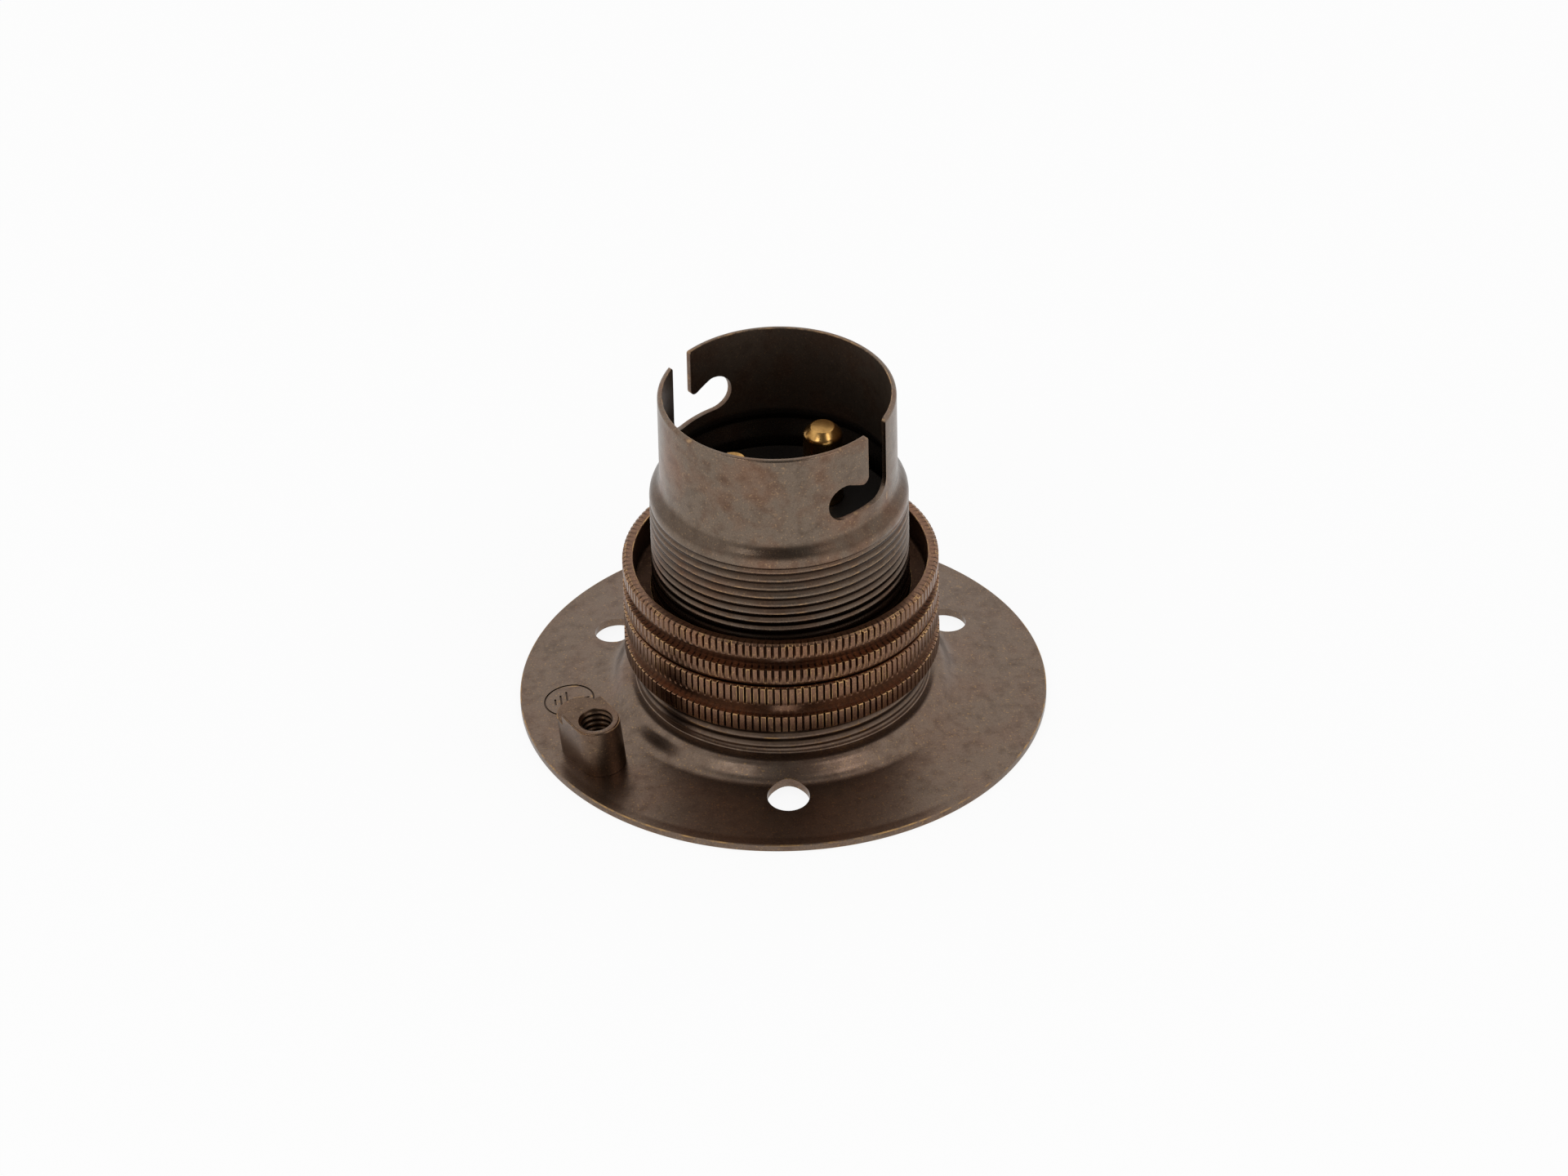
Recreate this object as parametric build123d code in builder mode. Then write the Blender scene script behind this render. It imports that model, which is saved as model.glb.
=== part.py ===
from build123d import *
import os
from math import cos, radians, sin, tan

# Bayonet batten lamp holder in bronzed brass, for a 22 mm bayonet lamp cap.
# A pressed backplate carries a threaded collar. The moulded insulator stands on the
# collar, the slotted barrel stands on the insulator's flange, and the union ring
# screws down the collar and clamps the barrel's foot. The shade ring runs on the
# barrel's own thread. Two sprung plungers stand in the barrel.
# Millimetres, +Z up. The origin is the middle of the plate, on the wall.

# Fits between pieces
running_clearance = 0.06
face_gap = 0.1
side_clearance = 0.35

# Backplate, pressed from one sheet
plate_radius = 27.5
plate_wall = 0.8
plate_rim_flat = 1.2
plate_rim_round = 4.0
plate_dish_angle = 6.5
fixing_circle_radius = 20.0
fixing_hole_radius = 2.2
fixing_hole_count = 3
fixing_first_azimuth = -90.0
shoulder_slope_width = 1.4
shoulder_foot_round = 2.0
shoulder_top_width = 1.3
shoulder_top_round = 1.6
shoulder_height = 3.5
collar_step = 1.9
collar_foot_round = 0.2
collar_height = 9.6

# Barrel, drawn from one sheet
barrel_radius = 12.3
barrel_wall = 0.55
barrel_length = 27.0
barrel_thread_step = 1.1
barrel_neck_length = 10.5
barrel_shoulder_length = 1.26
barrel_shoulder_round = 1.7
barrel_foot_round = 0.3

# Bayonet slots, two, half a turn apart
slot_azimuth = -50.0
slot_width = 3.15
slot_depth = 8.8
slot_entry_offset = 3.22
slot_pocket_reach = 3.5
slot_pocket_height = 4.1
slot_end_flat = 0.2
slot_throat_height = 2.8
slot_floor_radius = 1.9
slot_tongue_length = 2.85
slot_tongue_radius = 0.7
slot_roof_radius = 1.0
slot_rim_radius = 0.45

# Union ring and shade ring, turned and knurled
ring_step = 1.1
knurl_depth = 0.3
knurl_teeth = 138
knurl_seat = 0.05
knurl_rise = 0.05
union_ring_length = 5.65
union_lip_thickness = 0.8
union_band_height = 1.9
union_band_margin = 0.12
union_waist_depth = 0.4
shade_ring_length = 5.35
shade_rim_width = 1.15
shade_cup_depth = 3.5
shade_top_band_height = 1.6
shade_low_band_height = 1.05
shade_low_band_rise = 1.2
shade_groove_depth = 0.6
shade_groove_height = 1.4
shade_bead_height = 1.15
shade_bead_round = 0.45

# Insulator, moulded in two halves
insulator_flange_thickness = 1.6
insulator_boss_gap = 1.5
insulator_boss_depth = 3.8
insulator_body_height = 8.4
insulator_cap_height = 3.6
insulator_edge_chamfer = 0.5

# Contacts
contact_offset = 5.4
contact_azimuth = 30.0
pillar_radius = 3.2
pillar_flange_radius = 3.9
pillar_flange_thickness = 0.8
pillar_foot_height = 3.4
wire_hole_radius = 1.3
wire_hole_depth = 5.0
chamber_radius = 2.5
plunger_radius = 2.05
plunger_flange_radius = 2.42
plunger_flange_thickness = 1.0
plunger_reach = 8.8
plunger_travel = 8.0
plunger_tip_round = 0.8
plunger_spigot_radius = 1.25
plunger_spigot_length = 1.0
spring_wire = 0.4
spring_coil_radius = 1.75
spring_turns = 4
spring_solid_height = 2.8
spring_end_gap = 0.03

# Screws
screw_radius = 1.25
terminal_screw_head_radius = 1.45
terminal_screw_head_height = 1.1
terminal_screw_tip_offset = 0.9
joining_screw_length = 10.0
joining_screw_head_radius = 2.3
joining_screw_head_height = 1.4
joining_screw_head_depth = 0.2
joining_screw_end_gap = 0.6
driver_slot_width = 0.5
driver_slot_depth = 0.6

# Earth terminal, a block riveted to the plate
earth_edge_distance = 4.7
earth_azimuth = 210.0
earth_width = 4.9
earth_hole_spacing = 2.9
earth_height = 5.7
earth_step_depth = 1.2
earth_step_width = 2.2
earth_thread_radius = 1.7
earth_thread_depth = 5.0
earth_wire_radius = 1.1
earth_wire_height = 2.0
earth_spigot_radius = 1.5
earth_screw_length = 2.4
earth_edge_chamfer = 0.15

# Main radii, each tied to the barrel's own
barrel_thread_radius = barrel_radius + barrel_thread_step
collar_radius = barrel_thread_radius + collar_step
ring_radius = collar_radius + ring_step
shoulder_top_radius = collar_radius + shoulder_top_width
shoulder_foot_radius = shoulder_top_radius + shoulder_slope_width
insulator_boss_radius = collar_radius - plate_wall - insulator_boss_gap

# Heights that follow from the sizes above
insulator_seat = collar_height
barrel_seat = insulator_seat + insulator_flange_thickness
barrel_foot_top = barrel_seat + barrel_wall
barrel_top = barrel_seat + barrel_length
union_top = barrel_foot_top + union_lip_thickness
union_bottom = union_top - union_ring_length
shade_bottom = union_top + face_gap
shade_top = shade_bottom + shade_ring_length
body_top = barrel_seat + insulator_body_height
cap_top = body_top + insulator_cap_height
boss_bottom = insulator_seat - insulator_boss_depth
chamber_depth = plunger_flange_thickness + plunger_travel + spring_solid_height
chamber_floor = body_top - chamber_depth
pillar_bottom = boss_bottom - pillar_flange_thickness - pillar_foot_height
plunger_tip = cap_top + plunger_reach
slot_floor = barrel_top - slot_depth
slot_throat_top = slot_floor + slot_throat_height
slot_pocket_top = slot_floor + slot_pocket_height
slot_far_side = slot_entry_offset + slot_width / 2
slot_tongue_side = slot_entry_offset - slot_width / 2
knurl_root_radius = ring_radius - knurl_depth
ring_core_radius = knurl_root_radius - knurl_seat
insulator_radius = barrel_thread_radius - barrel_wall - side_clearance
barrel_shoulder_top = barrel_top - barrel_neck_length
barrel_shoulder_bottom = barrel_shoulder_top - barrel_shoulder_length
shade_groove_top = shade_top - shade_top_band_height
shade_groove_bottom = shade_groove_top - shade_groove_height
dish_slope = tan(radians(plate_dish_angle))
joining_screw_seat = cap_top - joining_screw_head_height - joining_screw_head_depth
joining_screw_tip = joining_screw_seat - joining_screw_length
plunger_flange_bottom = body_top - plunger_flange_thickness
terminal_screw_height = pillar_bottom + pillar_foot_height / 2

union_low_band_top = union_bottom + union_band_margin + union_band_height
union_high_band_bottom = union_top - union_band_margin - union_band_height
shade_bead_top = shade_bottom + shade_bead_height

# Radii that follow from them
dish_end_radius = plate_radius - plate_rim_flat
earth_circle_radius = plate_radius - earth_edge_distance
collar_bore_radius = collar_radius + running_clearance
barrel_foot_radius = collar_bore_radius - side_clearance
barrel_bore_radius = barrel_thread_radius + running_clearance
union_lip_radius = barrel_thread_radius + side_clearance
shade_cup_radius = ring_radius - shade_rim_width
ring_blank_radius = ring_radius - knurl_rise
union_waist_radius = ring_radius - union_waist_depth
shade_bead_foot_radius = ring_blank_radius - shade_bead_round
shade_groove_radius = ring_radius - shade_groove_depth
screw_hole_radius = screw_radius + running_clearance
slot_pocket_radius = (slot_pocket_height - slot_end_flat) / 2
contacts = {"right": contact_azimuth, "left": contact_azimuth + 180}


def polar(radius, azimuth, height=0.0):
    """A point by its distance from the lamp axis and its bearing."""
    return (radius * cos(radians(azimuth)), radius * sin(radians(azimuth)), height)


def dish_height(radius):
    """The height of the plate's upper skin on its dished part."""
    return plate_wall + (dish_end_radius - radius) * dish_slope


def upright_plane(azimuth):
    """The plane through one contact's axis that holds the vertical and the radius there."""
    return Plane(polar(contact_offset, azimuth), x_dir=polar(1, azimuth), z_dir=polar(1, azimuth - 90))


def contact_axis(azimuth):
    """The vertical line on which one plunger slides."""
    return Axis(polar(contact_offset, azimuth), (0, 0, 1))


def facing_plane(azimuth, radius=0.0, height=0.0):
    """A plane that faces away from the lamp's axis at one bearing, with its y axis up."""
    return Plane(polar(radius, azimuth, height), x_dir=polar(1, azimuth + 90), z_dir=polar(1, azimuth))


def knurl_outline():
    """The toothed outline of a straight-knurled band, crest and root in turn."""
    tooth_angle = 360 / knurl_teeth
    points = []
    for tooth in range(knurl_teeth):
        points.append(polar(ring_radius, tooth * tooth_angle))
        points.append(polar(knurl_root_radius, (tooth + 0.5) * tooth_angle))
    return points


os.makedirs("parts", exist_ok=True)

# The earth terminal stands square to the dished plate, between two fixing holes
earth_plane = Plane(
    polar(earth_circle_radius, earth_azimuth, dish_height(earth_circle_radius)),
    x_dir=polar(1, earth_azimuth + 90),
    z_dir=polar(dish_slope, earth_azimuth, 1),
)
earth_length = earth_hole_spacing + earth_width
earth_end_plane = Plane(
    earth_plane.from_local_coords((-earth_length / 2, 0, earth_wire_height)),
    x_dir=earth_plane.y_dir,
    z_dir=earth_plane.x_dir,
)
earth_thread_plane = Plane(
    earth_plane.from_local_coords((earth_hole_spacing / 2, 0, earth_height - earth_thread_depth)),
    x_dir=earth_plane.x_dir,
    z_dir=earth_plane.z_dir,
)

# Backplate: pressed and drawn from one sheet, so its lower skin follows its upper one
with BuildPart() as backplate:
    with BuildSketch(Plane.XZ):
        with BuildLine():
            FilletPolyline(
                (plate_radius, plate_wall),
                (dish_end_radius, plate_wall),
                (shoulder_foot_radius, dish_height(shoulder_foot_radius)),
                (shoulder_top_radius, shoulder_height),
                (collar_radius, shoulder_height),
                (collar_radius, collar_height),
                radius=[plate_rim_round, shoulder_foot_round, shoulder_top_round, collar_foot_round],
            )
            offset(amount=plate_wall, side=Side.LEFT)
        make_face()
    revolve(axis=Axis.Z)
    with BuildSketch():
        with PolarLocations(fixing_circle_radius, fixing_hole_count, fixing_first_azimuth):
            Circle(fixing_hole_radius)
    extrude(amount=shoulder_height, mode=Mode.SUBTRACT)
    with BuildSketch(earth_plane):
        Circle(earth_spigot_radius)
    extrude(amount=plate_wall, both=True, mode=Mode.SUBTRACT)
backplate.part.label = "backplate"
export_step(backplate.part, "parts/backplate.step")

# Earth terminal: an obround block with a stepped end, a tapped hole and a riveted spigot
with BuildPart() as earth_terminal:
    with BuildSketch(earth_plane):
        SlotCenterToCenter(earth_hole_spacing, earth_width)
    extrude(amount=earth_height)
    top_face = earth_terminal.faces().sort_by(Axis(earth_plane.origin, earth_plane.z_dir))[-1]
    chamfer(top_face.edges(), earth_edge_chamfer)
    with BuildSketch(earth_plane.offset(earth_height - earth_step_depth)):
        with Locations((-earth_length / 2, 0)):
            Rectangle(earth_step_width * 2, earth_width * 2)
    extrude(amount=earth_step_depth * 2, mode=Mode.SUBTRACT)
    with BuildSketch(earth_thread_plane):
        Circle(earth_thread_radius)
    extrude(amount=earth_height, mode=Mode.SUBTRACT)
    with BuildSketch(earth_end_plane):
        Circle(earth_wire_radius)
    extrude(amount=(earth_length + earth_hole_spacing) / 2, mode=Mode.SUBTRACT)
    with BuildSketch(earth_plane):
        Circle(earth_spigot_radius)
    extrude(amount=-plate_wall)
earth_terminal.part.label = "earth_terminal"
export_step(earth_terminal.part, "parts/earth_terminal.step")

# Earth screw: a slotted grub screw, wound deep in its hole as no wire is held
with BuildPart() as earth_screw:
    with BuildSketch(earth_thread_plane.offset(face_gap)):
        Circle(earth_thread_radius - running_clearance)
    extrude(amount=earth_screw_length)
    with BuildSketch(earth_thread_plane.offset(face_gap + earth_screw_length)):
        Rectangle(earth_width, driver_slot_width)
    extrude(amount=-driver_slot_depth, mode=Mode.SUBTRACT)
earth_screw.part.label = "earth_screw"
export_step(earth_screw.part, "parts/earth_screw.step")

# Union ring: bored to run on the collar, with a lip that holds the barrel's foot down. Its outside
# tapers from the upper knurled band to the lower one
with BuildPart() as union_ring:
    with BuildSketch(Plane.XZ):
        with BuildLine():
            low_end = Polyline(
                (collar_bore_radius, union_bottom),
                (ring_core_radius, union_bottom),
                (ring_core_radius, union_low_band_top),
                (union_waist_radius, union_low_band_top),
            )
            TangentArc((ring_blank_radius, union_high_band_bottom), low_end @ 1, tangent=(0, -1))
            Polyline(
                (ring_blank_radius, union_high_band_bottom),
                (ring_core_radius, union_high_band_bottom),
                (ring_core_radius, union_top),
                (union_lip_radius, union_top),
                (union_lip_radius, barrel_foot_top),
                (collar_bore_radius, barrel_foot_top),
                low_end @ 0,
            )
        make_face()
    revolve(axis=Axis.Z)
    for band_bottom in (union_bottom + union_band_margin, union_high_band_bottom):
        with BuildSketch(Plane.XY.offset(band_bottom)):
            with BuildLine():
                Polyline(*knurl_outline(), close=True)
            make_face()
            Circle(ring_core_radius - knurl_depth, mode=Mode.SUBTRACT)
        extrude(amount=union_band_height)
union_ring.part.label = "union_ring"
export_step(union_ring.part, "parts/union_ring.step")

# Shade ring: a shallow cup, tapped for the barrel, with a bead, two bands and a tapered groove
with BuildPart() as shade_ring:
    with BuildSketch(Plane.XZ):
        with BuildLine():
            foot = Line((barrel_bore_radius, shade_bottom), (shade_bead_foot_radius, shade_bottom))
            TangentArc((ring_blank_radius, shade_bead_top), foot @ 1, tangent=(0, -1))
            low_band = Polyline(
                (ring_blank_radius, shade_bead_top),
                (ring_core_radius, shade_bead_top),
                (ring_core_radius, shade_groove_bottom),
                (shade_groove_radius, shade_groove_bottom),
            )
            TangentArc((ring_blank_radius, shade_groove_top), low_band @ 1, tangent=(0, -1))
            Polyline(
                (ring_blank_radius, shade_groove_top),
                (ring_core_radius, shade_groove_top),
                (ring_core_radius, shade_top),
                (shade_cup_radius, shade_top),
                (shade_cup_radius, shade_top - shade_cup_depth),
                (barrel_bore_radius, shade_top - shade_cup_depth),
                foot @ 0,
            )
        make_face()
    revolve(axis=Axis.Z)
    for band_bottom, band_height in (
        (shade_bottom + shade_low_band_rise, shade_low_band_height),
        (shade_groove_top, shade_top_band_height),
    ):
        with BuildSketch(Plane.XY.offset(band_bottom)):
            with BuildLine():
                Polyline(*knurl_outline(), close=True)
            make_face()
            Circle(ring_core_radius - knurl_depth, mode=Mode.SUBTRACT)
        extrude(amount=band_height)
shade_ring.part.label = "shade_ring"
export_step(shade_ring.part, "parts/shade_ring.step")

# Barrel: drawn from one sheet into a foot, a skirt for the thread, a shoulder and a neck
with BuildPart() as barrel:
    with BuildSketch(Plane.XZ):
        with BuildLine():
            FilletPolyline(
                (barrel_foot_radius, barrel_foot_top),
                (barrel_thread_radius, barrel_foot_top),
                (barrel_thread_radius, barrel_shoulder_bottom),
                (barrel_radius, barrel_shoulder_top),
                (barrel_radius, barrel_top),
                radius=[barrel_foot_round, barrel_shoulder_round, barrel_shoulder_round],
            )
            offset(amount=barrel_wall, side=Side.LEFT)
        make_face()
    revolve(axis=Axis.Z)
    for half_turn in (0, 180):
        with BuildSketch(facing_plane(slot_azimuth + half_turn)):
            with BuildLine():
                slot_edge = FilletPolyline(
                    (slot_tongue_side, barrel_top + slot_width),
                    (slot_tongue_side, slot_throat_top),
                    (slot_tongue_side - slot_tongue_length, slot_pocket_top),
                    (-slot_pocket_reach, slot_pocket_top),
                    (-slot_pocket_reach, slot_floor),
                    (slot_far_side, slot_floor),
                    (slot_far_side, barrel_top + slot_width),
                    radius=[
                        slot_tongue_radius,
                        slot_roof_radius,
                        slot_pocket_radius,
                        slot_pocket_radius,
                        slot_floor_radius,
                    ],
                )
                Line(slot_edge @ 1, slot_edge @ 0)
            make_face()
        extrude(amount=barrel_thread_radius, mode=Mode.SUBTRACT)
    fillet(barrel.edges().filter_by(GeomType.LINE).group_by(Axis.Z)[-1], slot_rim_radius)
barrel.part.label = "barrel"
export_step(barrel.part, "parts/barrel.step")

# Insulator base: the moulded block that stands on the collar and holds both pillars
with BuildPart() as insulator_base:
    with BuildSketch(Plane.XZ):
        with BuildLine():
            Polyline(
                (0, boss_bottom),
                (insulator_boss_radius, boss_bottom),
                (insulator_boss_radius, insulator_seat),
                (barrel_foot_radius, insulator_seat),
                (barrel_foot_radius, barrel_seat),
                (insulator_radius, barrel_seat),
                (insulator_radius, body_top),
                (0, body_top),
                close=True,
            )
        make_face()
    revolve(axis=Axis.Z)
    chamfer(insulator_base.edges().sort_by(Axis.Z)[0], insulator_edge_chamfer)
    with BuildSketch(Plane.XY.offset(boss_bottom)):
        with PolarLocations(contact_offset, len(contacts), contact_azimuth):
            Circle(pillar_radius + running_clearance)
    extrude(amount=body_top - boss_bottom, mode=Mode.SUBTRACT)
    with BuildSketch(Plane.XY.offset(body_top)):
        Circle(screw_hole_radius)
    extrude(amount=joining_screw_tip - joining_screw_end_gap - body_top, mode=Mode.SUBTRACT)
insulator_base.part.label = "insulator_base"
export_step(insulator_base.part, "parts/insulator_base.step")

# Insulator cap: closes both chambers and guides the plungers
with BuildPart() as insulator_cap:
    with BuildSketch(Plane.XY.offset(body_top)):
        Circle(insulator_radius)
    extrude(amount=insulator_cap_height)
    chamfer(insulator_cap.edges().sort_by(Axis.Z)[-1], insulator_edge_chamfer)
    with BuildSketch(Plane.XY.offset(body_top)):
        Circle(screw_hole_radius)
        with PolarLocations(contact_offset, len(contacts), contact_azimuth):
            Circle(plunger_radius + running_clearance)
    extrude(amount=insulator_cap_height, mode=Mode.SUBTRACT)
    with BuildSketch(Plane.XY.offset(joining_screw_seat)):
        Circle(joining_screw_head_radius + side_clearance)
    extrude(amount=cap_top - joining_screw_seat, mode=Mode.SUBTRACT)
insulator_cap.part.label = "insulator_cap"
export_step(insulator_cap.part, "parts/insulator_cap.step")

# Joining screw: a slotted cheese-head screw that holds the two mouldings together
with BuildPart() as joining_screw:
    with BuildSketch(Plane.XY.offset(joining_screw_seat)):
        Circle(screw_radius)
    extrude(amount=-joining_screw_length)
    with BuildSketch(Plane.XY.offset(joining_screw_seat)):
        Circle(joining_screw_head_radius)
    extrude(amount=joining_screw_head_height)
    with BuildSketch(Plane.XY.offset(joining_screw_seat + joining_screw_head_height)):
        Rectangle(joining_screw_head_radius * 3, driver_slot_width)
    extrude(amount=-driver_slot_depth, mode=Mode.SUBTRACT)
joining_screw.part.label = "joining_screw"
export_step(joining_screw.part, "parts/joining_screw.step")

for side, azimuth in contacts.items():
    # Terminal pillar: a brass tube for the plunger, closed by a foot that takes the wire
    with BuildPart() as pillar:
        with BuildSketch(upright_plane(azimuth)):
            with BuildLine():
                Polyline(
                    (0, pillar_bottom),
                    (pillar_radius, pillar_bottom),
                    (pillar_radius, pillar_bottom + pillar_foot_height),
                    (pillar_flange_radius, pillar_bottom + pillar_foot_height),
                    (pillar_flange_radius, boss_bottom),
                    (pillar_radius, boss_bottom),
                    (pillar_radius, body_top),
                    (chamber_radius, body_top),
                    (chamber_radius, chamber_floor),
                    (0, chamber_floor),
                    close=True,
                )
            make_face()
        revolve(axis=contact_axis(azimuth))
        with BuildSketch(Plane.XY.offset(pillar_bottom)):
            with Locations(polar(contact_offset, azimuth)):
                Circle(wire_hole_radius)
        extrude(amount=wire_hole_depth, mode=Mode.SUBTRACT)
        with BuildSketch(facing_plane(azimuth, contact_offset, terminal_screw_height)):
            Circle(screw_hole_radius)
        extrude(amount=pillar_radius, mode=Mode.SUBTRACT)
    pillar.part.label = f"terminal_pillar_{side}"
    export_step(pillar.part, f"parts/terminal_pillar_{side}.step")

    # Terminal screw: enters the foot from outside and clamps the wire
    with BuildPart() as terminal_screw:
        screw_plane = facing_plane(azimuth, contact_offset, terminal_screw_height)
        with BuildSketch(screw_plane.offset(terminal_screw_tip_offset)):
            Circle(screw_radius)
        extrude(amount=pillar_radius + face_gap - terminal_screw_tip_offset)
        with BuildSketch(screw_plane.offset(pillar_radius + face_gap)):
            Circle(terminal_screw_head_radius)
        extrude(amount=terminal_screw_head_height)
        with BuildSketch(screw_plane.offset(pillar_radius + face_gap + terminal_screw_head_height)):
            Rectangle(terminal_screw_head_radius * 3, driver_slot_width)
        extrude(amount=-driver_slot_depth, mode=Mode.SUBTRACT)
    terminal_screw.part.label = f"terminal_screw_{side}"
    export_step(terminal_screw.part, f"parts/terminal_screw_{side}.step")

    # Plunger: turned with a rounded tip, a flange that stops under the cap and a spigot
    with BuildPart() as plunger:
        with BuildSketch(upright_plane(azimuth)):
            with BuildLine():
                stem = Polyline(
                    (0, plunger_tip),
                    (0, plunger_flange_bottom - plunger_spigot_length),
                    (plunger_spigot_radius, plunger_flange_bottom - plunger_spigot_length),
                    (plunger_spigot_radius, plunger_flange_bottom),
                    (plunger_flange_radius, plunger_flange_bottom),
                    (plunger_flange_radius, body_top),
                    (plunger_radius, body_top),
                    (plunger_radius, plunger_tip - plunger_tip_round),
                )
                dome = TangentArc(
                    stem @ 1,
                    (plunger_radius - plunger_tip_round, plunger_tip),
                    tangent=(0, 1),
                )
                Line(dome @ 1, stem @ 0)
            make_face()
        revolve(axis=contact_axis(azimuth))
    plunger.part.label = f"plunger_{side}"
    export_step(plunger.part, f"parts/plunger_{side}.step")

    # Plunger spring: an open coil between the chamber's floor and the plunger's flange
    spring_bottom = chamber_floor + spring_end_gap + spring_wire / 2
    spring_height = plunger_flange_bottom - spring_end_gap - spring_wire / 2 - spring_bottom
    with BuildPart() as plunger_spring:
        with BuildLine():
            coil = Helix(
                pitch=spring_height / spring_turns,
                height=spring_height,
                radius=spring_coil_radius,
                center=polar(contact_offset, azimuth, spring_bottom),
            )
        with BuildSketch(Plane(coil @ 0, z_dir=coil % 0)):
            Rectangle(spring_wire, spring_wire)
        sweep(is_frenet=True)
    plunger_spring.part.label = f"plunger_spring_{side}"
    export_step(plunger_spring.part, f"parts/plunger_spring_{side}.step")
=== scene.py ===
import bmesh
import bpy
from math import cos, hypot, pi, radians, sin, tan, tau
from mathutils import Matrix, Vector


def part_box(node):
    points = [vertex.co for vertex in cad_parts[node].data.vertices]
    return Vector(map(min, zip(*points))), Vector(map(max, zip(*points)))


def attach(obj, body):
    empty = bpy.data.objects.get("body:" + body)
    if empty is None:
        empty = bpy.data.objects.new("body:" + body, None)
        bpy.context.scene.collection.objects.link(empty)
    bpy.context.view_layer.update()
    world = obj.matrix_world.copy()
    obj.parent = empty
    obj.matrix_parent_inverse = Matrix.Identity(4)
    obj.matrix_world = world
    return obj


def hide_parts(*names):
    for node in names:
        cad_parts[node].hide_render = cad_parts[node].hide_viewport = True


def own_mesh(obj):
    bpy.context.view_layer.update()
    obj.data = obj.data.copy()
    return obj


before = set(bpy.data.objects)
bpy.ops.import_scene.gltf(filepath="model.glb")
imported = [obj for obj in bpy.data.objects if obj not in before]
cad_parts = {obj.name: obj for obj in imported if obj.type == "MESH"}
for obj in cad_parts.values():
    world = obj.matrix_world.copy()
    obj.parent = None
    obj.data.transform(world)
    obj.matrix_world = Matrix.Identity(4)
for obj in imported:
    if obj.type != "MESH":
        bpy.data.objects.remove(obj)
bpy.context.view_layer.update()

# Backplate: a round brass sheet, pressed to a shallow dish and drawn up in the middle into a
# shoulder and a collar. The collar's thread is rolled, the three screw holes are punched, and
# the whole plate is bronzed and lacquered.
mm = 0.001
plate_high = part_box("backplate")[1]
plate_radius = plate_high[0]
plate_wall = 0.8 * mm
plate_rim_flat = 1.2 * mm
plate_edge_round = 0.12 * mm
plate_dish_slope = tan(radians(6.5))
plate_rim_bend = 4 * mm
shoulder_height = 3.5 * mm
shoulder_foot_radius = 18.0 * mm
shoulder_top_radius = 16.6 * mm
shoulder_foot_bend = 2 * mm
shoulder_top_bend = 1.6 * mm
collar_radius = 15.3 * mm
collar_root_bend = 0.15 * mm
collar_edge_round = 0.1 * mm
collar_top = plate_high[2]
thread_pitch = 1.03 * mm
thread_depth = 0.2 * mm
thread_run_out = 0.5 * mm
thread_crest = 0.8
thread_rows = 12
collar_plain_foot = 0.35 * mm
fixing_circle_radius = 20.0 * mm
fixing_hole_radius = 2.2 * mm
fixing_hole_round = 0.1 * mm
fixing_azimuths = (-90, 30, 150)
round_columns = 288
arc_step = radians(12)


def rounded(corners):
    """An outline's points from its corners, (x, y) or (x, y, radius). A radius makes an arc."""
    points = []
    for index, (x, y, *radius) in enumerate(corners):
        corner = Vector((x, y))
        if not radius:
            points.append(corner)
            continue
        before = (Vector(corners[index - 1][:2]) - corner).normalized()
        after = (Vector(corners[(index + 1) % len(corners)][:2]) - corner).normalized()
        turn = pi - before.angle(after)
        side = -1 if before.cross(after) > 0 else 1
        centre = corner + (before + after).normalized() * radius[0] / cos(turn / 2)
        spoke = corner + before * radius[0] * tan(turn / 2) - centre
        steps = max(2, round(turn / arc_step))
        for step in range(steps + 1):
            points.append(centre + Matrix.Rotation(side * turn * step / steps, 2) @ spoke)
    return points


def with_rows(outline, low, high, step):
    """The same outline with its outer upright stretch between two heights cut into rows."""
    middle = (low + high) / 2
    pairs = list(zip(outline, outline[1:] + outline[:1]))
    crossing = [pair for pair in pairs if min(pair[0].y, pair[1].y) < middle < max(pair[0].y, pair[1].y)]
    outer = max(crossing, key=lambda pair: pair[0].x)
    bottom, top = sorted((outer[0].y, outer[1].y))
    rows = [low + step * row for row in range(round((high - low) / step) + 1)]
    rows = [row for row in rows if bottom + step / 2 < row < top - step / 2]
    if outer[1].y < outer[0].y:
        rows.reverse()
    place = outline.index(outer[0]) + 1
    return outline[:place] + [Vector((outer[0].x, row)) for row in rows] + outline[place:]


def new_piece(name, solid):
    """Makes an object of a finished bmesh, with its doubles merged and its faces turned outwards."""
    bmesh.ops.remove_doubles(solid, verts=solid.verts, dist=1e-7)
    bmesh.ops.delete(solid, geom=[edge for edge in solid.edges if edge.is_wire], context="EDGES")
    bmesh.ops.recalc_face_normals(solid, faces=solid.faces)
    mesh = bpy.data.meshes.new(name)
    solid.to_mesh(mesh)
    solid.free()
    piece = bpy.data.objects.new(name, mesh)
    bpy.context.scene.collection.objects.link(piece)
    return piece


def turned(name, outline, columns):
    """Turns a closed outline of (radius, height) about the z axis, with a column at each angle."""
    solid = bmesh.new()
    rings = []
    for angle in columns:
        ring = [solid.verts.new((point.x * cos(angle), point.x * sin(angle), point.y)) for point in outline]
        rings.append(ring)
    for column, ring in enumerate(rings):
        following = rings[(column + 1) % len(rings)]
        for row in range(len(ring)):
            above = (row + 1) % len(ring)
            solid.faces.new((ring[row], following[row], following[above], ring[above]))
    return new_piece(name, solid)


def even_columns(count):
    """Angles spread evenly over a full turn."""
    return [tau * column / count for column in range(count)]


def circle(radius, count):
    """A circle's points."""
    return [Vector((radius * cos(angle), radius * sin(angle))) for angle in even_columns(count)]


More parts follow.
